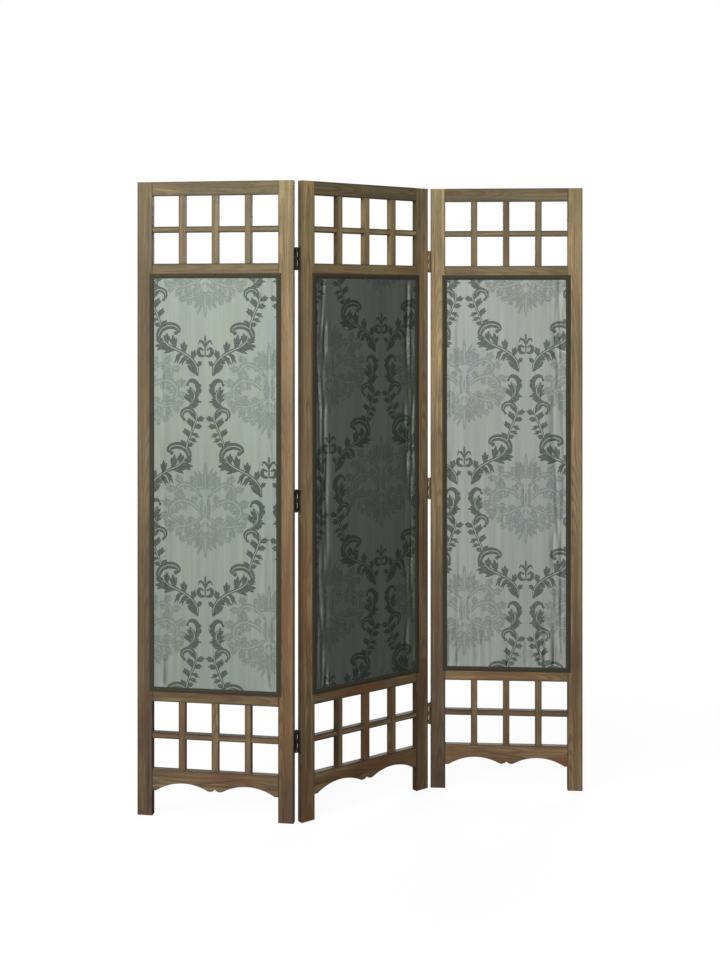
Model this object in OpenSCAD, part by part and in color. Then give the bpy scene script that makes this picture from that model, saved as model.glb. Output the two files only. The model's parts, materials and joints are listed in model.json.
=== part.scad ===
// Folding screen: three timber panels with lattice ends and stretched cloth centres,
// joined by butt hinges so that it stands in a zigzag and folds flat.

/* [Panel] */
// Height of a panel
panel_h = 1700; // [1400:10:2000]
// Width of a panel
panel_w = 428; // [380:1:520]
// Thickness of stiles and rails
panel_t = 18; // [16:0.5:30]
// Width of a stile
stile_w = 42; // [34:1:60]
// Height of the top rail
top_rail_h = 37; // [28:1:50]
// Height of the two rails that bound the cloth
mid_rail_h = 35; // [28:1:50]

/* [Lattice] */
// Height of one lattice opening
window_h = 83; // [60:1:100]
// Width of an upright lattice bar
bar_w = 18; // [12:0.5:24]
// Height of a level lattice bar
crossbar_h = 16; // [12:0.5:24]
// Thickness of the lattice bars
bar_t = 17; // [14:0.5:17]

/* [Apron] */
// Height of the apron's top edge above the floor
apron_top = 125; // [115:1:140]
// Height of the apron's square ends above the floor
apron_low = 68; // [60:1:72]
// Height of each arch's crown above the floor
arch_crown = 90; // [86:1:95]
// Distance of each arch's crown from the middle of the panel
arch_x = 87; // [84:1:88]
// Radius of each arch
arch_r = 140; // [138:1:142]
// Radius of each of the two lobes at the middle
lobe_r = 18; // [17.5:0.5:18.5]

/* [Cloth and braid] */
// Cloth thickness
cloth_t = 0.5; // [0.4:0.1:0.8]
// Width of cloth fixed on the frame round the opening
cloth_lap = 8; // [6:0.5:12]
// Width of the braid
braid_w = 14; // [10:0.5:18]
// Width of braid that covers the frame
braid_lap = 9; // [8:0.5:14]
// Thickness of the braid at its edges
braid_t = 1.4; // [1:0.1:1.6]
// Extra height of the cord along the middle of the braid
ridge_t = 0.5; // [0.2:0.1:0.6]

/* [Hinges] */
// Height of a hinge leaf
leaf_h = 60; // [50:2:80]
// Width of the flat part of a leaf
leaf_w = 14; // [12:0.5:15]
// Thickness of a leaf
leaf_t = 1.2; // [1:0.1:1.3]
// Outer radius of the knuckles, which is also half the gap between panels
knuckle_r = 3; // [2.8:0.1:4]
// Radius of the hinge pin
pin_r = 1.5; // [1.2:0.1:1.6]
// Heights of the hinge centres above the floor
hinge_z = [212, 850, 1493];

/* [Stance] */
// Turn of the left panel from the row's X axis
left_yaw = -8.5; // [-30:0.1:0]
// Turn of the middle panel from the row's X axis
middle_yaw = 35.8; // [0:0.1:60]
// Turn of the right panel from the row's X axis
right_yaw = -3.5; // [-30:0.1:10]

/* [Hidden] */

$fn = 48;
wood = "#85745a";
aged_wood = "#7a694f";
bronze = "#3a2d22";
brass = "#7d5c33";

// Heights of the rails, from the floor up
lattice_h = 2 * window_h + crossbar_h;
lower_rail_z = apron_top + lattice_h;
open_z0 = lower_rail_z + mid_rail_h;
top_rail_z = panel_h - top_rail_h;
upper_lattice_z = top_rail_z - lattice_h;
open_z1 = upper_lattice_z - mid_rail_h;
upper_rail_z = open_z1;

// Opening between the stiles
open_w = panel_w - 2 * stile_w;
open_h = open_z1 - open_z0;
window_w = (open_w - 3 * bar_w) / 4;
bar_recess = (panel_t - bar_t) / 2;
function bar_x(i) = stile_w + window_w + i * (window_w + bar_w);

// Joinery
tenon_t = 6;
tenon_l = 24;
shoulder = 5;
stub_l = 8;
stub_margin = 3;
tenon_y = (panel_t - tenon_t) / 2;

// Apron curves: each lobe's circle touches the arch's circle from outside
arch_cz = arch_crown - arch_r;
lobe_low = 72;  // height of the lobes' lowest points
lobe_z = lobe_low + lobe_r;
lobe_x = arch_x - sqrt(pow(arch_r + lobe_r, 2) - pow(lobe_z - arch_cz, 2));
touch_x = lobe_x + lobe_r * (arch_x - lobe_x) / (arch_r + lobe_r);

// Hinges
hinge_gap = 2 * knuckle_r;
pin_clear = 0.05;
knuckles = 5;
knuckle_h = leaf_h / knuckles;
knuckle_clear = 0.3;
pin_cap_h = 1.5;
screw_l = 16;
screw_r = 1.45;
screw_head_r = 2.9;
screw_clear = 0.05;
screw_step = 20;
leaf_start = knuckle_r + knuckle_clear;
leaf_mid = (leaf_start + knuckle_r + leaf_w) / 2;
back_screw_y = panel_t + knuckle_r - leaf_mid;
front_screw_y = leaf_mid - knuckle_r;

// Staples
staple_w = 10;
staple_wire = 0.5;
staple_leg = 5;
staple_out = 4;
channel_w = 4;
channel_t = 0.7;
staple_rows = 14;
staple_cols = 4;

// Plan positions: each panel's origin is the floor corner at its front left
function turn(a, v) = [v[0] * cos(a) - v[1] * sin(a), v[0] * sin(a) + v[1] * cos(a)];
left_pin_on_left = [panel_w + knuckle_r, panel_t + knuckle_r];
left_pin_on_middle = [-knuckle_r, panel_t + knuckle_r];
right_pin_on_middle = [panel_w + knuckle_r, -knuckle_r];
right_pin_on_right = [-knuckle_r, -knuckle_r];
left_raw = turn(middle_yaw, left_pin_on_middle) - turn(left_yaw, left_pin_on_left);
right_raw = turn(middle_yaw, right_pin_on_middle) - turn(right_yaw, right_pin_on_right);

// The row's origin is the middle of the bounding box, on the floor
corners = [for (c = [[0, 0], [panel_w, 0], [0, panel_t], [panel_w, panel_t]])
    each [left_raw + turn(left_yaw, c), turn(middle_yaw, c), right_raw + turn(right_yaw, c)]];
mid_x = (min([for (c = corners) c[0]]) + max([for (c = corners) c[0]])) / 2;
mid_y = (min([for (c = corners) c[1]]) + max([for (c = corners) c[1]])) / 2;
left_at = left_raw - [mid_x, mid_y];
middle_at = [-mid_x, -mid_y];
right_at = right_raw - [mid_x, mid_y];

// Placement of things drawn in a panel's own frame: x across, y front to back, z up
module on_left() { translate([left_at[0], left_at[1], 0]) rotate([0, 0, left_yaw]) children(); }
module on_middle() { translate([middle_at[0], middle_at[1], 0]) rotate([0, 0, middle_yaw]) children(); }
module on_right() { translate([right_at[0], right_at[1], 0]) rotate([0, 0, right_yaw]) children(); }

// A long tenon at each end of a rail that fills the opening
module rail_tenons(z, h) {
    for (x = [stile_w - tenon_l, panel_w - stile_w])
        translate([x, tenon_y, z + shoulder]) cube([tenon_l, tenon_t, h - 2 * shoulder]);
}

// A short tenon at each end of a level lattice bar
module crossbar_stubs(z) {
    for (x = [stile_w - stub_l, panel_w - stile_w])
        translate([x, tenon_y, z + stub_margin]) cube([stub_l, tenon_t, crossbar_h - 2 * stub_margin]);
}

// A short tenon at the top and foot of each upright lattice bar
module bar_stubs(z) {
    for (i = [0:2])
        for (end_z = [z - stub_l, z + lattice_h])
            translate([bar_x(i) + stub_margin, tenon_y, end_z])
                cube([bar_w - 2 * stub_margin, tenon_t, stub_l]);
}

// Screw holes on a stile's edge; the edge faces +x at x = 0
module screw_holes(y) {
    for (z = hinge_z)
        for (k = [-1:1])
            translate([0, y, z + k * screw_step]) rotate([0, -90, 0])
                cylinder(r = screw_r + screw_clear, h = screw_l);
}

// Stile: hinge_front and hinge_back say where its outer edge carries hinges
module stile(right_side, hinge_back = false, hinge_front = false) {
    edge = right_side ? panel_w : 0;
    color(aged_wood) difference() {
        translate([right_side ? panel_w - stile_w : 0, 0, 0]) cube([stile_w, panel_t, panel_h]);
        rail_tenons(apron_low, apron_top - apron_low);
        rail_tenons(lower_rail_z, mid_rail_h);
        rail_tenons(upper_rail_z, mid_rail_h);
        rail_tenons(top_rail_z, top_rail_h);
        crossbar_stubs(apron_top + window_h);
        crossbar_stubs(upper_lattice_z + window_h);
        translate([edge, 0, 0]) mirror([right_side ? 0 : 1, 0, 0]) {
            if (hinge_back) screw_holes(back_screw_y);
            if (hinge_front) screw_holes(front_screw_y);
        }
    }
}

// Plain rail between the stiles
module rail(z, h, lattice_z) {
    color(wood) difference() {
        union() {
            translate([stile_w, 0, z]) cube([open_w, panel_t, h]);
            rail_tenons(z, h);
        }
        bar_stubs(lattice_z);
    }
}

module top_rail() { rail(top_rail_z, top_rail_h, upper_lattice_z); }
module upper_rail() { rail(upper_rail_z, mid_rail_h, upper_lattice_z); }
module lower_rail() { rail(lower_rail_z, mid_rail_h, apron_top); }

// Outline of the apron seen from the front, x from the middle of the panel
module apron_outline() {
    difference() {
        translate([-open_w / 2, apron_low]) square([open_w, apron_top - apron_low]);
        for (side = [-1, 1]) translate([side * arch_x, arch_cz]) circle(r = arch_r, $fn = 256);
        difference() {
            translate([-touch_x, 0]) square([2 * touch_x, lobe_z]);
            for (side = [-1, 1]) translate([side * lobe_x, lobe_z]) circle(r = lobe_r, $fn = 96);
        }
    }
}

module apron() {
    color(aged_wood) difference() {
        union() {
            translate([panel_w / 2, panel_t, 0]) rotate([90, 0, 0]) linear_extrude(panel_t) apron_outline();
            rail_tenons(apron_low, apron_top - apron_low);
        }
        bar_stubs(apron_top);
    }
}

// Three upright lattice bars, notched at the back for the level bar
module bars(z) {
    color(wood) {
        for (i = [0:2])
            difference() {
                translate([bar_x(i), bar_recess, z]) cube([bar_w, bar_t, lattice_h]);
                translate([bar_x(i), panel_t / 2, z + window_h]) cube([bar_w, bar_t, crossbar_h]);
            }
        bar_stubs(z);
    }
}

// Level lattice bar, notched at the front for the upright bars
module crossbar(z) {
    color(wood) {
        difference() {
            translate([stile_w, bar_recess, z + window_h]) cube([open_w, bar_t, crossbar_h]);
            for (i = [0:2])
                translate([bar_x(i), 0, z + window_h]) cube([bar_w, panel_t / 2, crossbar_h]);
        }
        crossbar_stubs(z + window_h);
    }
}

module upper_bars() { bars(upper_lattice_z); }
module lower_bars() { bars(apron_top); }
module upper_crossbar() { crossbar(upper_lattice_z); }
module lower_crossbar() { crossbar(apron_top); }

// Slab on the front face: it stands out by lift to lift + thick, grown round the opening by grow
module face_slab(grow, lift, thick) {
    translate([stile_w - grow, -lift - thick, open_z0 - grow])
        cube([open_w + 2 * grow, thick, open_h + 2 * grow]);
}

module cloth() { color("#a9a99c") face_slab(cloth_lap, 0, cloth_t); }

// Braid: a flat band with a raised cord along it and a channel over the staples
module braid() {
    cord_w = 4;
    mid_grow = braid_lap - braid_w / 2;
    cut = 10;
    color("#4b3f33") difference() {
        union() {
            face_slab(braid_lap, cloth_t, braid_t);
            difference() {
                face_slab(mid_grow + cord_w / 2, cloth_t, braid_t + ridge_t);
                face_slab(mid_grow - cord_w / 2, cloth_t, braid_t + ridge_t + cut);
            }
        }
        face_slab(braid_lap - braid_w, -cut, cut * 3);
        difference() {
            face_slab(staple_out + channel_w / 2, cloth_t - cut, channel_t + cut);
            face_slab(staple_out - channel_w / 2, -cut, cut * 3);
        }
    }
}

// One staple: its crown lies along x on the cloth and its legs go back into the wood
module staple() {
    translate([-staple_w / 2, -cloth_t - staple_wire, -staple_wire / 2]) {
        cube([staple_w, staple_wire, staple_wire]);
        for (leg_x = [0, staple_w - staple_wire])
            translate([leg_x, 0, 0]) cube([staple_wire, staple_leg + cloth_t + staple_wire, staple_wire]);
    }
}

module staples() {
    color("silver") {
        for (x = [stile_w - staple_out, panel_w - stile_w + staple_out])
            for (i = [0:staple_rows - 1])
                translate([x, 0, open_z0 + open_h * (i + 0.5) / staple_rows]) rotate([0, 90, 0]) staple();
        for (z = [open_z0 - staple_out, open_z1 + staple_out])
            for (i = [0:staple_cols - 1])
                translate([stile_w + open_w * (i + 0.5) / staple_cols, 0, z]) staple();
    }
}

// Hinge leaf about its pin on the z axis: the leaf lies on the -x side and runs towards -y
module leaf(own_knuckles) {
    difference() {
        union() {
            translate([-knuckle_r, -knuckle_r - leaf_w, 0])
                cube([leaf_t, knuckle_r + leaf_w - leaf_start, leaf_h]);
            for (k = own_knuckles)
                translate([0, 0, k * knuckle_h + knuckle_clear / 2]) {
                    cylinder(r = knuckle_r, h = knuckle_h - knuckle_clear);
                    translate([-knuckle_r, -leaf_start - leaf_t, 0])
                        cube([leaf_t, leaf_start + leaf_t, knuckle_h - knuckle_clear]);
                }
        }
        translate([0, 0, -leaf_t]) cylinder(r = pin_r + pin_clear, h = leaf_h + 2 * leaf_t);
        for (k = [-1:1])
            translate([-knuckle_r, -leaf_mid, leaf_h / 2 + k * screw_step]) rotate([0, 90, 0]) {
                translate([0, 0, -leaf_t]) cylinder(r = screw_r + screw_clear, h = 3 * leaf_t);
                cylinder(r1 = screw_r + screw_clear, r2 = screw_head_r + screw_clear, h = leaf_t);
            }
    }
}

moving_knuckles = [1, 3];
fixed_knuckles = [0, 2, 4];

// Leaf on a stile's right edge, with the pin behind or in front of the panel
module right_edge_leaf(i, back, own) {
    translate([panel_w + knuckle_r, back ? panel_t + knuckle_r : -knuckle_r, hinge_z[i] - leaf_h / 2])
        mirror([0, back ? 0 : 1, 0]) leaf(own);
}

// Leaf on a stile's left edge
module left_edge_leaf(i, back, own) {
    translate([-knuckle_r, back ? panel_t + knuckle_r : -knuckle_r, hinge_z[i] - leaf_h / 2])
        mirror([1, 0, 0]) mirror([0, back ? 0 : 1, 0]) leaf(own);
}

// The left fold has its pins behind the panels, the right fold has them in front
module left_panel_leaf(i) { on_left() color(bronze) right_edge_leaf(i, true, moving_knuckles); }
module left_centre_leaf(i) { on_middle() color(bronze) left_edge_leaf(i, true, fixed_knuckles); }
module right_panel_leaf(i) { on_right() color(brass) left_edge_leaf(i, false, moving_knuckles); }
module right_centre_leaf(i) { on_middle() color(brass) right_edge_leaf(i, false, fixed_knuckles); }

// Countersunk screws of the three leaves on one edge; the edge faces +x at x = 0
module screws(y) {
    for (z = hinge_z)
        for (k = [-1:1])
            translate([0, y, z + k * screw_step]) {
                rotate([0, -90, 0]) cylinder(r = screw_r, h = screw_l - screw_r);
                translate([screw_r - screw_l, 0, 0]) rotate([0, -90, 0])
                    cylinder(r1 = screw_r, r2 = 0, h = screw_r);
                rotate([0, 90, 0]) cylinder(r1 = screw_r, r2 = screw_head_r, h = leaf_t);
            }
}

module right_edge_screws(back, tint) {
    color(tint) translate([panel_w, 0, 0]) screws(back ? back_screw_y : front_screw_y);
}

module left_edge_screws(back, tint) {
    color(tint) mirror([1, 0, 0]) screws(back ? back_screw_y : front_screw_y);
}

// Three pins with domed caps, standing on the middle panel's knuckles
module pins(at, tint) {
    color(tint) for (z = hinge_z)
        translate([at[0], at[1], z - leaf_h / 2]) {
            cylinder(r = pin_r, h = leaf_h);
            for (end = [0, 1])
                translate([0, 0, end ? leaf_h - knuckle_clear / 2 : knuckle_clear / 2])
                    mirror([0, 0, end ? 0 : 1]) intersection() {
                        cylinder(r = knuckle_r, h = pin_cap_h);
                        translate([0, 0, pin_cap_h - knuckle_r]) sphere(r = knuckle_r);
                    }
        }
}

on_left() stile(false);  // left_stile_outer
on_left() stile(true, hinge_back = true);  // left_stile_hinge
on_left() top_rail();  // left_top_rail
on_left() upper_rail();  // left_upper_rail
on_left() lower_rail();  // left_lower_rail
on_left() apron();  // left_apron
on_left() upper_bars();  // left_upper_bars
on_left() upper_crossbar();  // left_upper_crossbar
on_left() lower_bars();  // left_lower_bars
on_left() lower_crossbar();  // left_lower_crossbar
on_left() cloth();  // left_cloth
on_left() braid();  // left_braid
on_left() staples();  // left_staples
on_middle() stile(false, hinge_back = true);  // middle_stile_left
on_middle() stile(true, hinge_front = true);  // middle_stile_right
on_middle() top_rail();  // middle_top_rail
on_middle() upper_rail();  // middle_upper_rail
on_middle() lower_rail();  // middle_lower_rail
on_middle() apron();  // middle_apron
on_middle() upper_bars();  // middle_upper_bars
on_middle() upper_crossbar();  // middle_upper_crossbar
on_middle() lower_bars();  // middle_lower_bars
on_middle() lower_crossbar();  // middle_lower_crossbar
on_middle() cloth();  // middle_cloth
on_middle() braid();  // middle_braid
on_middle() staples();  // middle_staples
on_right() stile(false, hinge_front = true);  // right_stile_hinge
on_right() stile(true);  // right_stile_outer
on_right() top_rail();  // right_top_rail
on_right() upper_rail();  // right_upper_rail
on_right() lower_rail();  // right_lower_rail
on_right() apron();  // right_apron
on_right() upper_bars();  // right_upper_bars
on_right() upper_crossbar();  // right_upper_crossbar
on_right() lower_bars();  // right_lower_bars
on_right() lower_crossbar();  // right_lower_crossbar
on_right() cloth();  // right_cloth
on_right() braid();  // right_braid
on_right() staples();  // right_staples
left_panel_leaf(0);  // left_hinge_low_panel_leaf
left_panel_leaf(1);  // left_hinge_mid_panel_leaf
left_panel_leaf(2);  // left_hinge_top_panel_leaf
left_centre_leaf(0);  // left_hinge_low_centre_leaf
left_centre_leaf(1);  // left_hinge_mid_centre_leaf
left_centre_leaf(2);  // left_hinge_top_centre_leaf
right_panel_leaf(0);  // right_hinge_low_panel_leaf
right_panel_leaf(1);  // right_hinge_mid_panel_leaf
right_panel_leaf(2);  // right_hinge_top_panel_leaf
right_centre_leaf(0);  // right_hinge_low_centre_leaf
right_centre_leaf(1);  // right_hinge_mid_centre_leaf
right_centre_leaf(2);  // right_hinge_top_centre_leaf
on_middle() pins(left_pin_on_middle, bronze);  // left_hinge_pins
on_middle() pins(right_pin_on_middle, brass);  // right_hinge_pins
on_left() right_edge_screws(true, bronze);  // left_hinge_panel_screws
on_middle() left_edge_screws(true, bronze);  // left_hinge_centre_screws
on_right() left_edge_screws(false, brass);  // right_hinge_panel_screws
on_middle() right_edge_screws(false, brass);  // right_hinge_centre_screws
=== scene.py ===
import json
import math
import random

import bpy
from mathutils import Matrix, Vector, bvhtree, geometry, noise


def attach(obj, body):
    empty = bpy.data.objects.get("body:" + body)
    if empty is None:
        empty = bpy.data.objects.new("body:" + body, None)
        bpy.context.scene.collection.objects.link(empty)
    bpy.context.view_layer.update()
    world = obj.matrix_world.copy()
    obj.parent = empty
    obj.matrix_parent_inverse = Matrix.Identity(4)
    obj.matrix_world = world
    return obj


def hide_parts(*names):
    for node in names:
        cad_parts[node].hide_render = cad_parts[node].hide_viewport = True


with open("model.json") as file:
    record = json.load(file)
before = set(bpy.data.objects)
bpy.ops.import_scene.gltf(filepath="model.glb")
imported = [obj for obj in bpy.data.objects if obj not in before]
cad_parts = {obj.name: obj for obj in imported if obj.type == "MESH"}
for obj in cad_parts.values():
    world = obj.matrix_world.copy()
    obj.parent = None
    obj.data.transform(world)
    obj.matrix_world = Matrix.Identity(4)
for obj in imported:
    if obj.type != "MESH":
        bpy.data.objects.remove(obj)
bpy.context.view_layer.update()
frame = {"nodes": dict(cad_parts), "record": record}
mm = 0.001
sides = ("left", "middle", "right")


class Wire:
    # an output socket that can be written into sums like a number
    def __init__(self, finish, socket):
        self.finish = finish
        self.socket = socket

    def math(self, operation, *terms):
        return self.finish.node("Math", {"operation": operation}, dict(enumerate(terms)))

    def __add__(self, other):
        return self.math("ADD", self, other)

    def __sub__(self, other):
        return self.math("SUBTRACT", self, other)

    def __rsub__(self, other):
        return self.math("SUBTRACT", other, self)

    def __mul__(self, other):
        return self.math("MULTIPLY", self, other)

    def __truediv__(self, other):
        return self.math("DIVIDE", self, other)

    def __rtruediv__(self, other):
        return self.math("DIVIDE", other, self)

    __radd__ = __add__
    __rmul__ = __mul__

    def least(self, other):
        return self.math("MINIMUM", self, other)

    def most(self, other):
        return self.math("MAXIMUM", self, other)

    def wave(self):
        return self.math("SINE", self)

    def ramp(self, low, high):
        # 0 at low, 1 at high, smooth between
        return self.finish.node("MapRange", {"interpolation_type": "SMOOTHSTEP"},
                                {"Value": self, "From Min": low, "From Max": high})


class Finish:
    # a material or a world being built
    def __init__(self, name, kind="materials"):
        self.owner = getattr(bpy.data, kind).new(name)
        self.owner.use_nodes = True
        self.tree = self.owner.node_tree
        self.tree.nodes.clear()

    def node(self, kind, settings=None, sockets=None, out=0):
        made = self.tree.nodes.new("ShaderNode" + kind)
        for key, value in (settings or {}).items():
            setattr(made, key, value)
        for key, value in (sockets or {}).items():
            if isinstance(value, Wire):
                self.tree.links.new(value.socket, made.inputs[key])
            else:
                made.inputs[key].default_value = value
        return None if out is None else Wire(self, made.outputs[out])

    def place(self, x, y, z):
        return self.node("CombineXYZ", None, {0: x, 1: y, 2: z})

    def split(self, vector):
        first = self.node("SeparateXYZ", None, {0: vector})
        return [Wire(self, output) for output in first.socket.node.outputs]

    def spot(self):
        return self.split(self.node("TexCoord", None, None, 3))

    def grains(self, at, detail=2.0, roughness=0.5, distortion=0.0):
        return self.node("TexNoise", None, {"Vector": at, "Scale": 1.0, "Detail": detail,
                                            "Roughness": roughness, "Distortion": distortion})

    def blend(self, share, first, second, how="MIX"):
        return self.node("Mix", {"data_type": "RGBA", "blend_type": how}, {0: share, 6: first, 7: second}, 2)

    def bump(self, height, strength, distance, normal=None):
        sockets = {"Height": height, "Strength": strength, "Distance": distance}
        if normal:
            sockets["Normal"] = normal
        return self.node("Bump", None, sockets)

    def close(self, **sockets):
        named = {key.replace("_", " "): value for key, value in sockets.items()}
        shader = self.node("BsdfPrincipled", None, named)
        return self.end(shader)

    def end(self, shader):
        kind = "OutputMaterial" if isinstance(self.owner, bpy.types.Material) else "OutputWorld"
        self.node(kind, None, {"Surface": shader}, None)
        return self.owner


def tint(red, green, blue):
    # a paint-chart colour, 0 to 255, as the renderer's own light values
    parts = [c / 255 for c in (red, green, blue)]
    return (*[c / 12.92 if c <= 0.04045 else ((c + 0.055) / 1.055) ** 2.4 for c in parts], 1.0)


mounts = {m["name"]: Vector(m["pos_m"]) for m in frame["record"]["mounts"]}
feet = {"left": ("left_outer_foot", "left_hinge_foot"),
        "middle": ("middle_left_foot", "middle_right_foot"),
        "right": ("right_hinge_foot", "right_outer_foot")}


def panelFrame(side):
    # x along the panel from its left foot's middle, y from front to back, z up
    first, second = (mounts[name] for name in feet[side])
    along = (second - first).normalized()
    yaw = math.atan2(along.y, along.x)
    return Matrix.Translation(first) @ Matrix.Rotation(yaw, 4, "Z"), yaw


panels = {side: panelFrame(side) for side in sides}
leftStile = {"left": "stile_outer", "middle": "stile_left", "right": "stile_hinge"}


def localBox(side, node):
    # a node's box in its own panel's frame
    back = panels[side][0].inverted()
    points = [back @ v.co for v in frame["nodes"][node].data.vertices]
    low = Vector([min(p[i] for p in points) for i in range(3)])
    high = Vector([max(p[i] for p in points) for i in range(3)])
    return low, high


def putOn(side, piece, body=None):
    piece.matrix_world = panels[side][0]
    bpy.context.view_layer.update()
    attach(piece, body or side + "_panel")


def meshPiece(name, points, faces):
    mesh = bpy.data.meshes.new(name)
    mesh.from_pydata([tuple(p) for p in points], [], faces)
    mesh.update()
    piece = bpy.data.objects.new(name, mesh)
    bpy.context.scene.collection.objects.link(piece)
    return piece


def soften(piece, width, segments=2, angle=40):
    # rounds a CAD node's sharp edges without touching its mesh
    weld = piece.modifiers.new("weld", "WELD")
    weld.merge_threshold = 0.01 * mm
    bevel = piece.modifiers.new("bevel", "BEVEL")
    bevel.width = width
    bevel.segments = segments
    bevel.limit_method = "ANGLE"
    bevel.angle_limit = math.radians(angle)
    bevel.use_clamp_overlap = False
    even = piece.modifiers.new("even", "WEIGHTED_NORMAL")
    even.keep_sharp = False
    for face in piece.data.polygons:
        face.use_smooth = True


timberLook = {
    "pale": (146, 125, 86), "mid": (114, 92, 58), "dark": (68, 50, 30), "rust": (108, 68, 38),
    "ash": (108, 101, 69), "edge": (38, 30, 19), "round": 0.8 * mm,
    # boards wider than this carry less stain on their edges
    "wide": 30 * mm, "wideStain": 0.62,
    # painted shade: how dark the boards grow towards the floor and where that starts, and the two that grow
    # darkest
    "floorShade": (0.60, 1.75), "floorShades": {"left_stile_hinge": (0.36, 1.2), "right_stile_hinge": (0.20, 1.75)},
    # how red the boards grow towards the floor
    "red": 0.15, "reds": {"left_stile_hinge": 1.0}, "redder": (1.12, 0.88, 0.62, 1),
    # how light each member's own board is
    "boards": {"left_stile_outer": 0.54, "left_stile_hinge": 0.85, "left_top_rail": 0.52,
               "left_upper_rail": 0.52, "left_lower_rail": 0.76, "left_apron": 0.90,
               "left_upper_bars": 0.60, "left_upper_crossbar": 0.58,
               "middle_stile_left": 1.08, "middle_stile_right": 0.90, "middle_top_rail": 0.46,
               "middle_upper_rail": 0.84, "middle_lower_rail": 0.96, "middle_apron": 1.05,
               "right_stile_hinge": 1.22, "right_stile_outer": 0.96, "right_top_rail": 0.52,
               "right_upper_rail": 0.58, "right_lower_rail": 1.10, "right_apron": 1.12,
               "right_upper_bars": 0.64, "right_upper_crossbar": 0.64},
}
uprights = ("stile_outer", "stile_hinge", "stile_left", "stile_right", "upper_bars", "lower_bars")
levels = ("top_rail", "upper_rail", "lower_rail", "apron", "upper_crossbar", "lower_crossbar")


def timber(node, side, upright, low, high, seed):
    look = timberLook
    board = look["boards"].get(node, 0.92)
    # painted shade towards the floor, set per board
    floorShade, top = look["floorShades"].get(node, look["floorShade"])
    red = look["reds"].get(node, look["red"])
    f = Finish(node + "_timber")
    base, yaw = panels[side]
    spot = f.node("TexCoord", None, None, 3)
    local = f.node("Mapping", {"vector_type": "POINT"},
                   {"Vector": spot, "Location": base.inverted().to_translation(), "Rotation": (0, 0, -yaw)})
    x, y, z = f.split(local)
    across, along = (x, z) if upright else (z, x)
    lo, hi = (low.x, high.x) if upright else (low.z, high.z)
    shift = seed * 3.7
    heart = (lo + hi) / 2 + 12 * mm * math.sin(seed * 2.3)

    # growth rings cut at a slant, so they close in long arches
    drift = f.grains(f.place(across * 9 + shift, y * 9, along * 2.6), 2.0)
    out = (across - heart) * 25
    rings = (out * out * 1.5 + along * (1.3 + 0.6 * math.sin(seed)) + drift * 1.6) * 5.5
    arches = (rings * math.tau).wave() * 0.5 + 0.5
    bent = across + (drift - 0.5) * 0.02
    streaks = f.grains(f.place(bent * 170 + shift, y * 60, along * 2.0), 3.0, 0.6, 0.4)
    fibre = f.grains(f.place(bent * 900 + shift, y * 900, along * 16), 2.0, 0.7)
    pores = f.grains(f.place(bent * 1300, y * 1300 + shift, along * 42), 1.0).ramp(0.62, 0.74)
    cloud = f.grains(f.place(across * 18, y * 18 + shift, along * 5), 3.0, 0.6)
    wash = f.grains(f.place(across * 34 + shift, y * 34, along * 11 + shift), 4.0, 0.65)
    blot = f.grains(f.place(x * 7 + shift, y * 7, z * 3.2), 2.0)

    colour = f.blend(streaks.ramp(0.34, 0.66), tint(*look["mid"]), tint(*look["pale"]))
    colour = f.blend(arches.ramp(0.40, 1.0) * 0.46, colour, tint(*look["dark"]))
    seams = f.grains(f.place(bent * 75 + shift, y * 30, along * 1.4 + shift), 2.0, 0.5)
    colour = f.blend(seams.ramp(0.52, 0.72) * 0.62, colour, tint(*look["dark"]))
    colour = f.blend(fibre.ramp(0.45, 0.80) * 0.40, colour, tint(*look["dark"]))
    colour = f.blend(cloud.ramp(0.40, 0.70) * (0.92 - z * 0.40), colour, tint(*look["rust"]))
    colour = f.blend(wash.ramp(0.36, 0.66) * (z * 0.42 + 0.02), colour, tint(*look["ash"]))
    colour = f.blend(pores * 0.45, colour, tint(*look["edge"]))

    # dark stain left along the arrises
    inside = (across - lo).least(hi - across)
    wide = hi - lo > look["wide"]
    rub = (1 - inside.ramp(0.4 * mm, 5.0 * mm)) * (0.45 + wash) * (look["wideStain"] if wide else 1.0)
    colour = f.blend(rub.least(0.85), colour, tint(*look["edge"]))

    # the stain gathers towards the feet, and painted shade darkens the boards towards the floor
    colour = f.blend((1 - z.ramp(0.2, 1.2)) * red, colour, look["redder"], "MULTIPLY")
    shade = (z.ramp(-0.2, top) * (1 - floorShade) + floorShade) * (0.50 + blot * 1.1) * board
    colour = f.node("VectorMath", {"operation": "SCALE"}, {0: colour, 3: shade})

    height = fibre * 0.5 + streaks * 0.4 - pores * 0.8
    normal = f.bump(height, 0.5, 0.35 * mm)
    rough = 0.50 + wash * 0.3
    return f.close(Base_Color=colour, Roughness=rough, Normal=normal, Specular_IOR_Level=0.28)


def dressTimber():
    print("timber")
    seed = 0
    for side in sides:
        for part in uprights + levels:
            node = f"{side}_{part}"
            if node not in frame["nodes"]:
                continue
            seed += 1
            piece = frame["nodes"][node]
            low, high = localBox(side, node)
            finish = timber(node, side, part in uprights, low, high, seed)
            piece.data.materials.clear()
            piece.data.materials.append(finish)
            soften(piece, timberLook["round"])


clothLook = {
    "column": 347.0, "drop": 641.0,
    # where one small motif stands: across from the panel's left edge, and above the floor
    "motif": {"left": (188.0, 1259.0), "middle": (262.5, 1319.5), "right": (269.0, 1260.0)},
    # sideways growth of the dark leaves, 1 leaves them slim
    "fuller": 1.16,
    "grid": 6.0,
    "thick": 0.4 * mm,
    # how far in from its edge the braid hides the cloth
    "cover": 13.0,
    # ground colour of each sheet, then the shade of the medallions and of the leaves; the leaves' shade is
    # partly their own dark weave and partly painted shade, set darker on the side sheets where the lamps'
    # sheen falls
    "dye": {"left": (88, 96, 87), "middle": (82, 84, 77), "right": (97, 100, 95)},
    "ghost": 0.70, "leaf": {"left": 0.15, "middle": 0.27, "right": 0.20},
    "cast": (0.80, 1.06, 0.92, 1),
    "coolShift": (0.94, 1.04, 1.22), "warmShift": (1.12, 1.06, 0.84),
}
ground, ghost, figure = 0.0, 0.45, 1.0


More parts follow.
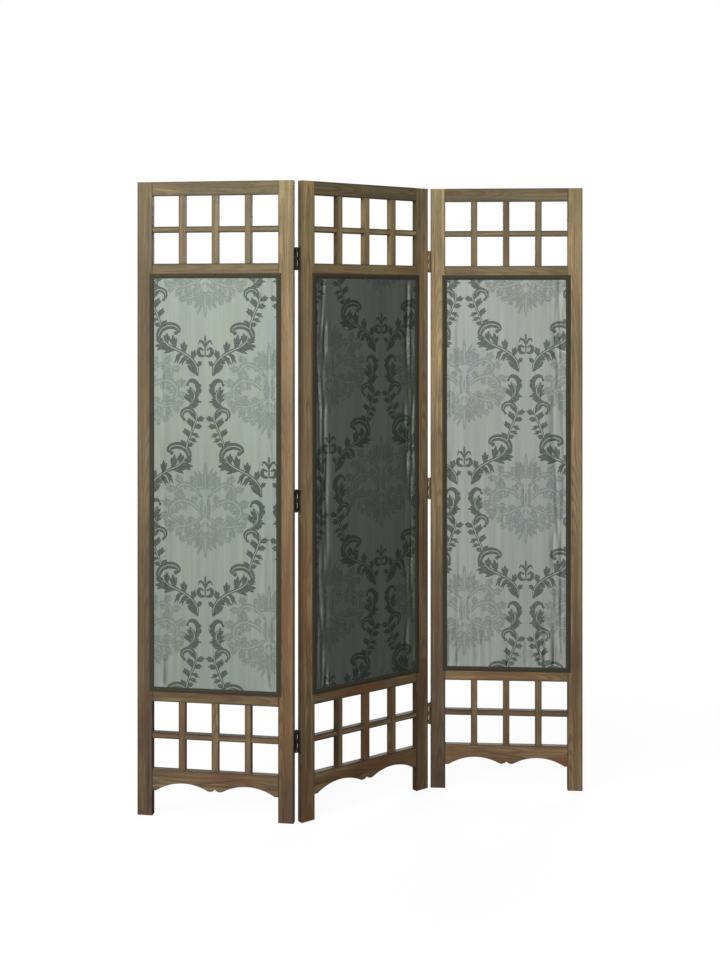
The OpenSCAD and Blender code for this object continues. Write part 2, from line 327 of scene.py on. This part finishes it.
def curve(knots, steps=6):
    # a smooth line through the knots
    points = [Vector(k) for k in knots]
    padded = [2 * points[0] - points[1]] + points + [2 * points[-1] - points[-2]]
    line = []
    for i in range(1, len(padded) - 2):
        a, b, c, d = padded[i - 1:i + 3]
        for s in range(steps):
            t = s / steps
            line.append(0.5 * (2 * b + (c - a) * t + (2 * a - 5 * b + 4 * c - d) * t ** 2
                               + (3 * b - a - 3 * c + d) * t ** 3))
    line.append(points[-1])
    return line


def normals(line):
    out = []
    for i in range(len(line)):
        run = line[min(i + 1, len(line) - 1)] - line[max(i - 1, 0)]
        run.normalize()
        out.append(Vector((-run.y, run.x)))
    return out


def ribbon(line, halfWidth):
    # closed outline round a line; halfWidth is a function of 0 to 1 along it
    outward = normals(line)
    last = len(line) - 1
    left = [p + n * halfWidth(i / last) for i, (p, n) in enumerate(zip(line, outward))]
    right = [p - n * halfWidth(i / last) for i, (p, n) in enumerate(zip(line, outward))]
    return left + right[::-1]


def counterClockwise(shape):
    area = sum(p.x * q.y - q.x * p.y for p, q in zip(shape, shape[1:] + shape[:1]))
    return shape if area > 0 else shape[::-1]


def mirrored(shapes):
    return [(kind, [Vector((-p.x, p.y)) for p in shape]) for kind, shape in shapes]


def leaflet(base, degrees, length, width, hook=0.0):
    # one plain leaf that bends by hook as it grows
    angle = math.radians(degrees)
    ahead = Vector((math.cos(angle), math.sin(angle)))
    aside = Vector((-ahead.y, ahead.x))
    base = Vector(base)
    line = curve([base, base + ahead * length * 0.5 + aside * hook * length * 0.12,
                  base + ahead * length * 0.95 + aside * hook * length * 0.42], 3)
    outline = ribbon(line, lambda t: width * math.sin(math.pi * (0.05 + 0.89 * t) ** 1.15) ** 0.75)
    outline.insert(len(line), line[-1] + (line[-1] - line[-2]).normalized() * width * 0.4)
    return outline


def leaf(base, degrees, length, width, hook=0.0, kind=figure):
    # one leaf, slim at its foot, with a long middle lobe and a shorter lobe on each side
    fuller = clothLook["fuller"] if kind == figure else 1.0
    length, width = length * (1 + fuller) / 2, width * fuller
    angle = math.radians(degrees)
    start = Vector(base)
    shoulder = start + Vector((math.cos(angle), math.sin(angle))) * length * 0.10
    shapes = [(kind, leaflet(start, degrees, length, width * 0.62, hook))]
    spread = 12 if kind == figure else 15
    for hand, reach in ((-1, 0.80), (1, 0.66)):
        lobe = leaflet(shoulder, degrees + hand * spread, length * reach, width * 0.46, hook + hand * 0.3)
        shapes.append((kind, lobe))
    if kind == ghost:
        shapes.append((ground, leaflet(shoulder, degrees, length * 0.5, 1.0, hook)))
    return shapes


def spotOn(line, t):
    at = min(int(t * (len(line) - 1)), len(line) - 2)
    run = line[at + 1] - line[at]
    base = line[at].lerp(line[at + 1], t * (len(line) - 1) - at)
    return base, math.degrees(math.atan2(run.y, run.x))


def frond(knots, stem, vein, above, below, kind=figure):
    # a leafy branch; above and below list its leaves as place along it, length, width, lean and hook
    line = curve(knots, 5)
    shapes = []
    for hand, leaves in ((1, above), (-1, below)):
        for t, length, width, lean, hook in leaves:
            base, degrees = spotOn(line, t)
            shapes += leaf(base, degrees + hand * lean, length, width, hand * hook, kind)
    shapes.append((kind, ribbon(line, lambda t: stem * (0.55 + 0.45 * math.sin(math.pi * t)))))
    if vein:
        shapes.append((ground, ribbon(line[2:], lambda t: vein * (0.75 + 0.25 * math.sin(math.pi * t)))))
    return shapes


def crook(knots, width, kind=figure, slit=0.0, tail=0.35):
    # a leaf bent over like a shepherd's crook, ending in a round
    line = curve(knots, 5)
    tip = line[-1]
    ball = [tip + Vector((math.cos(a), math.sin(a))) * width * 0.62
            for a in (i * math.tau / 12 for i in range(12))]
    body = ribbon(line, lambda t: width * (tail + (1 - tail) * math.sin(math.pi * min(t * 1.1, 1.0)) ** 0.7))
    shapes = [(kind, body), (kind, ball)]
    if slit:
        inner = line[len(line) // 7:len(line) * 6 // 7]
        shapes.append((ground, ribbon(inner, lambda t: slit * math.sin(math.pi * (0.05 + 0.9 * t)) ** 0.5)))
    return shapes


def stroke(knots, width, kind=ground):
    return (kind, ribbon(curve(knots, 5), lambda t: width * math.sin(math.pi * (0.08 + 0.84 * t)) ** 0.5))


def largeSprig():
    shapes = frond([(21, -78), (23, -54), (40, -31), (68, -13), (96, 0), (112, 13), (117, 26)], 4.6, 1.3,
                   [(0.16, 19, 6, 50, 0.3), (0.29, 27, 7, 46, 0.3), (0.43, 32, 8, 46, 0.3),
                    (0.57, 37, 8, 44, 0.4), (0.73, 28, 8, 34, 0.7)],
                   [(0.00, 42, 11, 34, -0.4), (0.22, 29, 8, 30, 0.3), (0.36, 27, 5, 38, 1.6),
                    (0.45, 28, 5, 38, 1.7), (0.55, 40, 8, 16, 0.2), (0.69, 37, 9, 28, 0.2),
                    (0.86, 22, 7, 44, 0.2)])
    curl = [(126, 12), (129, 30), (119, 48), (99, 56), (80, 52), (73, 42), (81, 36)]
    return shapes + crook(curl, 9.4, figure, 1.2)


def smallSprig():
    shapes = crook([(42, -155), (31, -142), (20, -121), (22, -101), (33, -91), (44, -93), (49, -102)], 6.6)
    shapes += leaf((22, -110), 150, 13, 6, -0.4) + leaf((22, -126), 140, 16, 6, -0.4)
    shapes += leaf((33, -144), 84, 35, 9, -0.3) + leaf((39, -151), 66, 27, 8, -0.3)
    shapes += leaf((41, -150), 152, 27, 6, 1.0) + leaf((48, -160), 168, 27, 7, 0.2)
    shapes.append(stroke([(41, -153), (31, -139), (31, -124), (39, -112)], 1.2))
    return shapes


def leafySprig():
    shapes = frond([(53, -285), (50, -262), (41, -236), (31, -212), (24, -191), (26, -176)], 3.8, 1.2,
                   [(0.16, 18, 6, 50, 0.3), (0.30, 20, 4, 52, 1.4), (0.41, 21, 4, 52, 1.5),
                    (0.56, 23, 7, 48, 0.4), (0.72, 24, 7, 46, 0.3)],
                   [(0.14, 23, 7, 42, 0.3), (0.34, 27, 7, 42, 0.3),
                    (0.54, 29, 8, 40, 0.3), (0.74, 29, 8, 34, 0.4)])
    curl = [(29, -186), (35, -173), (47, -168), (60, -173), (64, -185), (58, -195)]
    return shapes + crook(curl, 7.2, figure, 1.1)


def smallMotif():
    shapes = [(figure, leaflet((0, 8), 90, 22, 3.2)), stroke([(0, -27), (0, -8), (0, 12)], 2.0, figure)]
    for knots, width in (([(1, -2), (6, 10), (14, 15), (18, 8)], 3.4),
                         ([(2, -25), (13, -24), (19, -14), (14, -5), (7, -8)], 5.4)):
        shapes += crook(knots, width)
        shapes += mirrored(crook(knots, width))
    return shapes


def medallionHalf():
    # one side of the round ornament: a fan, two great curls, two trailing branches
    shapes = []
    for degrees, length in ((70, 54), (46, 48), (20, 40)):
        shapes += leaf((4, 262), degrees, length, 13, -0.4, ghost)
    shapes += frond([(8, 238), (30, 262), (56, 274), (76, 264), (80, 246), (70, 240)], 7, 1.5,
                    [(0.22, 30, 10, 50, 0.4), (0.42, 32, 11, 46, 0.4),
                     (0.62, 30, 11, 46, 0.5), (0.84, 26, 10, 50, 0.5)],
                    [(0.35, 16, 7, 60, 0.8), (0.60, 16, 7, 60, 0.8), (1.0, 15, 9, 20, 0.5)], ghost)
    shapes += frond([(10, 198), (36, 222), (70, 230), (94, 212), (94, 190), (78, 182)], 8, 1.8,
                    [(0.16, 28, 10, 54, 0.4), (0.34, 34, 12, 48, 0.4), (0.52, 36, 12, 46, 0.5),
                     (0.70, 34, 12, 48, 0.5), (0.88, 28, 11, 50, 0.5)],
                    [(0.26, 24, 9, 56, 0.8), (0.44, 26, 9, 56, 0.8),
                     (0.62, 24, 9, 58, 0.8), (1.0, 20, 11, 20, 0.6)], ghost)
    shapes += frond([(4, 188), (32, 170), (62, 161), (88, 164)], 6, 1.6,
                    [(0.22, 30, 11, 36, 0.3), (0.48, 32, 11, 34, 0.3),
                     (0.74, 30, 11, 30, 0.3), (0.98, 30, 11, 4, 0.2)],
                    [(0.18, 34, 11, 44, 0.3), (0.42, 38, 12, 42, 0.3),
                     (0.66, 34, 11, 38, 0.3), (0.90, 30, 10, 34, 0.3)], ghost)
    shapes += frond([(3, 172), (16, 150), (32, 134), (50, 128)], 5, 1.4,
                    [(0.30, 26, 10, 38, 0.3), (0.60, 28, 10, 34, 0.3), (0.95, 26, 10, 8, 0.2)],
                    [(0.25, 26, 9, 42, 0.3), (0.50, 26, 9, 40, 0.3), (0.76, 24, 9, 36, 0.3)], ghost)
    for degrees, length in ((-68, 52), (-44, 40)):
        shapes += leaf((3, 146), degrees, length, 12, 0.4, ghost)
    shapes.append((ghost, leaflet((9, 178), 78, 58, 8, 0.5)))
    shapes.append(stroke([(13, 186), (18, 206), (13, 226)], 1.8))
    return shapes


def repeatUnit():
    shapes = leaf((0, 258), 90, 76, 9, 0, ghost) + leaf((0, 146), -90, 72, 9, 0, ghost)
    shapes += [stroke([(0, 268), (0, 318)], 1.6), stroke([(0, 136), (0, 90)], 1.6)]
    for half in (medallionHalf(), largeSprig(), smallSprig(), leafySprig()):
        shapes += half + mirrored(half)
    shapes += [(ground, leaflet((0, 180), 90, 50, 6)), (ghost, leaflet((0, 187), 90, 34, 3))]
    return shapes + smallMotif()


def clothShapes(side, x0, x1, z0, z1):
    # every outline of the repeat that touches the sheet, in panel millimetres
    unit = repeatUnit()
    px, pz = clothLook["motif"][side]
    column, drop = clothLook["column"], clothLook["drop"]
    out = []
    for i in range(-3, 4):
        for j in range(-3, 4):
            at = Vector((px + i * column / 2, pz + j * drop + (i % 2) * drop / 2))
            for kind, shape in unit:
                moved = [p + at for p in shape]
                if max(p.x for p in moved) < x0 or min(p.x for p in moved) > x1:
                    continue
                if max(p.y for p in moved) < z0 or min(p.y for p in moved) > z1:
                    continue
                out.append((kind, counterClockwise(moved)))
    return out


# where the cloth was pulled over the frame; how strongly at each sheet's left and right edge and foot
puckerLook = {
    "rows": 4, "reach": 34.0, "depth": 3.4, "fold": 3.4, "sag": 1.2,
    "pull": {"left": (0.45, 0.7, 0.4), "middle": (2.0, 1.6, 0.8), "right": (0.6, 1.1, 2.2)},
}


def pucker(side, x, z, edges):
    # how far the stretched cloth sinks behind flat, in mm
    look = puckerLook
    x0, x1, z0, z1 = edges
    inset = min(x - x0, x1 - x, z - z0, z1 - z)
    if inset <= 0:
        return 0.0
    seed = sides.index(side) * 17.3
    atLeft, atRight, atFoot = look["pull"][side]
    total = 0.0
    for hand, edge, pull in ((1, x0, atLeft), (-1, x1, atRight)):
        away = (x - edge) * hand
        if away > 60:
            continue
        for k in range(look["rows"]):
            drift = noise.noise(Vector((k * 3.1 + seed + hand, z / 190, 0.0))) * 9
            middle = 4 + look["reach"] * (k + 0.3) / look["rows"] + drift
            power = max(noise.noise(Vector((k * 5.7 - seed + hand * 2, z / 120, 3.0))) + 0.16, 0)
            width = look["fold"] + 0.5 * k
            total += pull * power * math.exp(-((away - middle) / width) ** 2) * look["depth"]
    rise = z - z0
    if rise < 160:
        fold = noise.noise(Vector((x / 13 + seed, rise / 400, 11.0)))
        total += atFoot * max(fold, 0) * math.exp(-(rise / 90) ** 2) * look["depth"]
    slack = noise.noise(Vector((x / 55 + seed, z / 260, 7.0))) * look["sag"]
    return (total - slack * 0.5) * min(inset / 10, 1.0)


def weaveMap(shapes, corners):
    # flat triangles of the whole pattern, each with its tone; later shapes lie on earlier ones
    points = list(corners)
    outlines = [[0, 1, 2, 3]]
    for kind, shape in shapes:
        outlines.append(list(range(len(points), len(points) + len(shape))))
        points += shape
    made = geometry.delaunay_2d_cdt(points, [], outlines, 0, 0.001, True)
    kinds = [ground] + [kind for kind, shape in shapes]
    triangles, tones = [], []
    for triangle, origin in zip(made[2], made[5]):
        if 0 in origin:
            triangles.append(tuple(triangle))
            tones.append(kinds[max(origin)])
    return made[0], triangles, tones


def toneEdges(triangles, tones):
    # the lines where one tone meets another, and the sheet's own border
    meets = {}
    for triangle, tone in zip(triangles, tones):
        for a, b in zip(triangle, triangle[1:] + triangle[:1]):
            meets.setdefault((min(a, b), max(a, b)), []).append(tone)
    return [edge for edge, found in meets.items() if len(found) == 1 or found[0] != found[1]]


def seedPoints(x0, x1, z0, z1):
    # loose points that let the sheet bend, closer together near the pulled sides
    step = clothLook["grid"] * 1
    across, up = int((x1 - x0) / step), int((z1 - z0) / step)
    dice = random.Random(5)
    seeds = []
    for i in range(1, across * 2):
        nearSide = min(i, across * 2 - i) < across * 0.3
        for j in range(1, up):
            if nearSide or not (i % 2 or j % 2):
                jig = Vector((dice.uniform(-0.4, 0.4), dice.uniform(-0.4, 0.4)))
                seeds.append(Vector((x0 + (x1 - x0) * i / (across * 2), z0 + (z1 - z0) * j / up)) + jig)
    return seeds


def shell(name, front, faces, thick):
    # a sheet with a back and a closed rim; large faces lead its shading, so slivers leave no marks
    leans = [Vector((0, 0, 0)) for p in front]
    meets = {}
    for face in faces:
        a, b, c = (front[i] for i in face)
        lean = (b - a).cross(c - a) * 1e6
        for i, j in zip(face, face[1:] + face[:1]):
            leans[i] += lean
            meets.setdefault((min(i, j), max(i, j)), []).append((i, j))
    leans = [lean.normalized() if lean.length > 1e-9 else Vector((0, -1, 0)) for lean in leans]
    back = [p - lean * thick for p, lean in zip(front, leans)]
    count = len(front)
    rim = [(j, i, i + count, j + count) for found in meets.values() if len(found) == 1 for i, j in found]
    behind = [tuple(i + count for i in face[::-1]) for face in faces]
    piece = meshPiece(name, front + back, faces + behind + rim)
    for face in piece.data.polygons:
        face.use_smooth = True
    piece.data.normals_split_custom_set_from_vertices(leans + [-lean for lean in leans])
    return piece, len(rim)


def makeCloth(side):
    low, high = localBox(side, side + "_cloth")
    # panel millimetres: across from the panel's left edge and up from the floor
    edge = localBox(side, f"{side}_{leftStile[side]}")[0].x
    x0, x1 = (low.x - edge) / mm, (high.x - edge) / mm
    z0, z1 = low.z / mm, high.z / mm
    corners = [Vector((x0, z0)), Vector((x1, z0)), Vector((x1, z1)), Vector((x0, z1))]
    flat, triangles, tones = weaveMap(clothShapes(side, x0, x1, z0, z1), corners)
    lookUp = bvhtree.BVHTree.FromPolygons([(p.x, p.y, 0) for p in flat], triangles)

    lines = toneEdges(triangles, tones)
    used = sorted({i for line in lines for i in line})
    place = {old: new for new, old in enumerate(used)}
    points = [flat[i] for i in used] + seedPoints(x0, x1, z0, z1)
    lines = [(place[a], place[b]) for a, b in lines]
    made = geometry.delaunay_2d_cdt(points, lines, [], 0, 0.001, False)

    cover = clothLook["cover"]
    opening = (x0 + cover, x1 - cover, z0 + cover, z1 - cover)
    verts = []
    for p in made[0]:
        back = 0.05 + pucker(side, p.x, p.y, opening)
        verts.append(Vector((edge + p.x * mm, low.y + back * mm, p.y * mm)))
    faces, faceTones = [], []
    for triangle in made[2]:
        a, b, c = (made[0][i] for i in triangle)
        facing = (b - a).cross(c - a)
        if abs(facing) < 1e-5:
            continue
        middle = (a + b + c) / 3
        nearest = lookUp.find_nearest((middle.x, middle.y, 0))
        faces.append(tuple(triangle) if facing > 0 else tuple(reversed(triangle)))
        faceTones.append(tones[nearest[2]])
    piece, rimFaces = shell(side + "_damask", verts, faces, clothLook["thick"])
    tone = piece.data.attributes.new("tone", "FLOAT", "FACE")
    tone.data.foreach_set("value", faceTones * 2 + [ground] * rimFaces)
    print("cloth", side, len(verts), "points", len(faces), "faces")
    return piece


def damask(side):
    look = clothLook
    f = Finish(side + "_damask_weave")
    x, y, z = f.spot()
    tone = f.node("Attribute", {"attribute_name": "tone"}, None, 2)
    seed = sides.index(side) * 4.1
    slub = f.grains(f.place(x * 420 + seed, y * 30, z * 7), 3.0, 0.6)
    streak = f.grains(f.place(x * 90 + seed, 0.0, z * 2.5), 2.0)
    cross = f.grains(f.place(x * 60, seed, z * 700), 2.0)
    mottle = f.grains(f.place(x * 260, seed, z * 260), 2.0)

    dye = tint(*look["dye"][side])
    thin = tuple(c * 1.18 for c in dye[:3]) + (1.0,)
    cool = tuple(c * k for c, k in zip(dye, look["coolShift"])) + (1.0,)
    warm = tuple(c * k for c, k in zip(dye, look["warmShift"])) + (1.0,)
    plain = f.blend(streak.ramp(0.35, 0.7), dye, thin)
    bloom = f.grains(f.place(x * 16 + seed, y * 16, z * 4.5), 3.0, 0.6)
    plain = f.blend(bloom.ramp(0.50, 0.72) * 0.40, plain, cool)
    plain = f.blend((1 - bloom.ramp(0.30, 0.48)) * 0.35, plain, warm)
    plain = f.blend(slub.ramp(0.45, 0.8) * 0.35, plain, tuple(c * 0.6 for c in dye[:3]) + (1.0,))
    # medallions are woven thinner in places, leaves are dense
    lace = mottle.ramp(0.40, 0.62) * 0.7 + cross.ramp(0.4, 0.7) * 0.45
    toGhost = (tone / ghost).least(1.0) * (1 - tone.ramp(0.6, 0.9))
    toLeaf = tone.ramp(0.6, 0.9)
    faint = toGhost * (1 - look["ghost"]) * (1.45 - lace)
    # the leaves darken by a per-sheet amount: partly their own dark weave, partly painted shade
    bold = toLeaf * (1 - look["leaf"][side]) * (1.12 - lace * 0.3)
    dim = 1 - faint - bold
    green = f.blend(toLeaf.most(toGhost * 0.25), (1, 1, 1, 1), look["cast"], "MULTIPLY")
    plain = f.blend(1.0, plain, green, "MULTIPLY")
    colour = f.node("VectorMath", {"operation": "SCALE"}, {0: plain, 3: dim})
    threads = (x * 2 * math.pi / (0.9 * mm)).wave() * 0.25 + (z * 2 * math.pi / (1.1 * mm)).wave() * 0.25
    normal = f.bump(slub + cross * 0.6 + threads * 0.5, 0.35, 0.12 * mm)
    rough = 0.40 + tone * 0.10 + slub * 0.1
    return f.close(Base_Color=colour, Roughness=rough, Normal=normal, Metallic=0.5,
                   Specular_IOR_Level=0.6, Coat_Weight=0.20, Coat_Roughness=0.20)


def dressCloth():
    print("cloth")
    for side in sides:
        piece = makeCloth(side)
        piece.data.materials.append(damask(side))
        putOn(side, piece)
        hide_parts(side + "_cloth")


braidLook = {"width": 14 * mm, "base": 0.9 * mm, "cord": 1.0 * mm, "pitch": 5.0 * mm, "step": 1.0 * mm,
             "columns": 14, "deep": (32, 33, 25), "thread": (56, 55, 43), "shine": (74, 69, 52),
             "brown": (78, 61, 38)}


def braidHeight(u, s):
    # u runs -1 to 1 across, s metres along: scalloped borders and a twisted cord in the middle
    look = braidLook
    edge = 1 - abs(u)
    turn = math.tau * s / look["pitch"]
    rim = look["base"] * min(edge / 0.18, 1.0)
    weave = 0.22 * mm * math.sin(turn + math.copysign(6 * abs(u), u)) * (abs(u) > 0.3)
    cord = look["cord"] * math.sqrt(max(1 - (u / 0.27) ** 2, 0)) * (1 + 0.16 * math.sin(turn * 1.6 + u * 9))
    return max(rim + weave * min(edge / 0.2, 1) + cord, 0.0)


def makeBraid(side):
    low, high = localBox(side, side + "_braid")
    half = braidLook["width"] / 2
    columns = braidLook["columns"]
    step = braidLook["step"] * 1
    seat = localBox(side, side + "_cloth")[0].y
    cx, cz = (low.x + high.x) / 2, (low.z + high.z) / 2
    hx, hz = (high.x - low.x) / 2 - half, (high.z - low.z) / 2 - half
    verts, faces, border = [], [], []
    for middle, along, outward, reach in (
            (Vector((cx, 0, cz + hz)), Vector((1, 0, 0)), Vector((0, 0, 1)), hx),
            (Vector((cx, 0, cz - hz)), Vector((-1, 0, 0)), Vector((0, 0, -1)), hx),
            (Vector((cx + hx, 0, cz)), Vector((0, 0, -1)), Vector((1, 0, 0)), hz),
            (Vector((cx - hx, 0, cz)), Vector((0, 0, 1)), Vector((-1, 0, 0)), hz)):
        rows = int(2 * reach / step)
        start = len(verts)
        for r in range(rows + 1):
            for c in range(columns + 1):
                u = -1 + 2 * c / columns
                s = (reach + u * half) * (2 * r / rows - 1)
                rise = braidHeight(u, s)
                spot = middle + along * s + outward * u * half
                verts.append((spot.x, seat - rise, spot.z))
                border.append(u)
        for r in range(rows):
            for c in range(columns):
                a = start + r * (columns + 1) + c
                faces.append((a, a + columns + 1, a + columns + 2, a + 1))
    piece = meshPiece(side + "_gimp_braid", verts, faces)
    piece.data.attributes.new("border", "FLOAT", "POINT").data.foreach_set("value", border)
    for face in piece.data.polygons:
        face.use_smooth = True
    return piece


def braidThread(side):
    look = braidLook
    f = Finish(side + "_braid_thread")
    x, y, z = f.spot()
    fuzz = f.grains(f.place(x * 900, y * 900, z * 900), 2.0)
    band = ((x + z) * 2 * math.pi / (1.3 * mm)).wave()
    colour = f.blend(fuzz.ramp(0.3, 0.7), tint(*look["deep"]), tint(*look["thread"]))
    # painted highlight: lighter diagonal bands in the shine colour along the twist
    colour = f.blend((band * 0.5 + 0.5) * 0.3, colour, tint(*look["shine"]))
    border = f.node("Attribute", {"attribute_name": "border"}, None, 2)
    colour = f.blend(border.ramp(0.62, 1.0) * 0.8, colour, tint(*look["brown"]))
    normal = f.bump(fuzz + band * 0.3, 0.5, 0.2 * mm)
    return f.close(Base_Color=colour, Roughness=0.85, Normal=normal, Specular_IOR_Level=0.12)


def dressBraid():
    print("braid")
    for side in sides:
        piece = makeBraid(side)
        piece.data.materials.append(braidThread(side))
        putOn(side, piece)
        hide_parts(side + "_braid")


metalLook = {
    "left": {"deep": (28, 24, 16), "worn": (74, 64, 44), "metal": 0.65, "rough": 0.55},
    "right": {"deep": (78, 62, 38), "worn": (128, 106, 70), "metal": 0.55, "rough": 0.58},
    "staple": {"deep": (110, 110, 110), "worn": (170, 170, 168), "metal": 0.9, "rough": 0.35},
}


def agedMetal(name, look, seed):
    f = Finish(name)
    x, y, z = f.spot()
    cloud = f.grains(f.place(x * 140 + seed, y * 140, z * 140), 4.0, 0.65)
    speck = f.grains(f.place(x * 900, y * 900 + seed, z * 900), 2.0)
    brush = f.grains(f.place(x * 1500, y * 1500, z * 60 + seed), 2.0)
    colour = f.blend(cloud.ramp(0.42, 0.68), tint(*look["deep"]), tint(*look["worn"]))
    colour = f.blend(speck.ramp(0.58, 0.75) * 0.5, colour, tint(*look["deep"]))
    rough = look["rough"] + cloud * 0.2
    normal = f.bump(brush * 0.4 + speck * 0.6, 0.25, 0.08 * mm)
    return f.close(Base_Color=colour, Roughness=rough, Normal=normal, Metallic=look["metal"])


def dressMetal():
    print("metal")
    seed = 0
    for node, piece in frame["nodes"].items():
        if "_hinge_" not in node:
            continue
        seed += 1
        side = node.split("_")[0]
        piece.data.materials.clear()
        piece.data.materials.append(agedMetal(node + "_metal", metalLook[side], seed))
        soften(piece, 0.15 * mm, 2, 35)
    for side in sides:
        piece = frame["nodes"][side + "_staples"]
        piece.data.materials.clear()
        piece.data.materials.append(agedMetal(side + "_staple_steel", metalLook["staple"], 3.3))
        soften(piece, 0.1 * mm, 1, 35)


stageLook = {"floorNear": -9.0, "floorFar": 2.4, "halfWidth": 9.0, "room": 0.095}
cameraLook = {"place": (-0.015, -3.5475, 1.367), "lens": 48.45, "shift": -0.1811}


def makeFloor():
    look = stageLook
    w = look["halfWidth"]
    floor = meshPiece("floor", [(-w, look["floorNear"], 0), (w, look["floorNear"], 0),
                                (w, look["floorFar"], 0), (-w, look["floorFar"], 0)], [(0, 1, 2, 3)])
    f = Finish("floor_paper")
    glow = f.node("Emission", None, {"Color": (1, 1, 1, 1), "Strength": 0.995})
    matt = f.node("BsdfDiffuse", None, {"Color": (0.9, 0.9, 0.9, 1)})
    floor.data.materials.append(f.end(f.node("MixShader", None, {0: 0.10, 1: glow, 2: matt})))
    floor.visible_diffuse = False
    floor.visible_shadow = False
    floor.visible_glossy = False


def makeWorld():
    # white behind the piece, a dimmer cool room all round it
    f = Finish("studio", "worlds")
    seen = f.node("Background", None, {0: (1, 1, 1, 1), 1: 1.0})
    room = f.node("Background", None, {0: (0.93, 0.97, 1.0, 1), 1: stageLook["room"]})
    bpy.context.scene.world = f.end(f.node("MixShader", None, {0: f.node("LightPath"), 1: room, 2: seen}))


# each light's place, what it faces, width, height, watts and, on one, its colour
lightsLook = {
    "key": ((-1.1, -4.6, 1.9), (0, 0, 1.2), 4.6, 3.0, 240),
    "low": ((-0.9, -4.4, -0.7), (0, 0, 0.4), 4.4, 1.6, 95),
    "streak": ((3.2, -3.6, 1.5), (0, 0, 1.2), 0.6, 2.2, 75, (0.84, 0.92, 1.0)),
    "side": ((-3.6, -2.0, 2.6), (0, 0, 1.4), 2.4, 2.0, 130),
    "top": ((-0.6, -1.4, 3.4), (0, 0, 1.2), 2.4, 1.4, 50),
    "back": ((0.8, 3.6, 2.4), (0, 0, 1.0), 3.4, 2.4, 190),
}


def softbox(name, place, target, width, height, watts, colour=(1, 1, 1)):
    data = bpy.data.lights.new(name, "AREA")
    data.shape = "RECTANGLE"
    data.size, data.size_y = width, height
    data.energy = watts
    data.color = colour
    lamp = bpy.data.objects.new(name, data)
    bpy.context.scene.collection.objects.link(lamp)
    lamp.location = place
    lamp.rotation_euler = (Vector(target) - Vector(place)).to_track_quat("-Z", "Y").to_euler()


def makeLights():
    for name, settings in lightsLook.items():
        softbox(name, *settings)
    # these two only put a shine on the cloth
    for name in ("low", "streak"):
        bpy.data.objects[name].visible_diffuse = False


def makeCamera():
    look = cameraLook
    data = bpy.data.cameras.new("camera")
    data.lens = look["lens"]
    data.sensor_width = 36
    data.sensor_fit = "AUTO"
    data.shift_y = look["shift"]
    camera = bpy.data.objects.new("camera", data)
    bpy.context.scene.collection.objects.link(camera)
    camera.location = look["place"]
    camera.rotation_euler = (math.pi / 2, 0, 0)
    bpy.context.scene.camera = camera


dressTimber()
dressCloth()
dressBraid()
dressMetal()
makeFloor()
makeWorld()
makeLights()
makeCamera()
bpy.context.scene.view_settings.view_transform = "Standard"
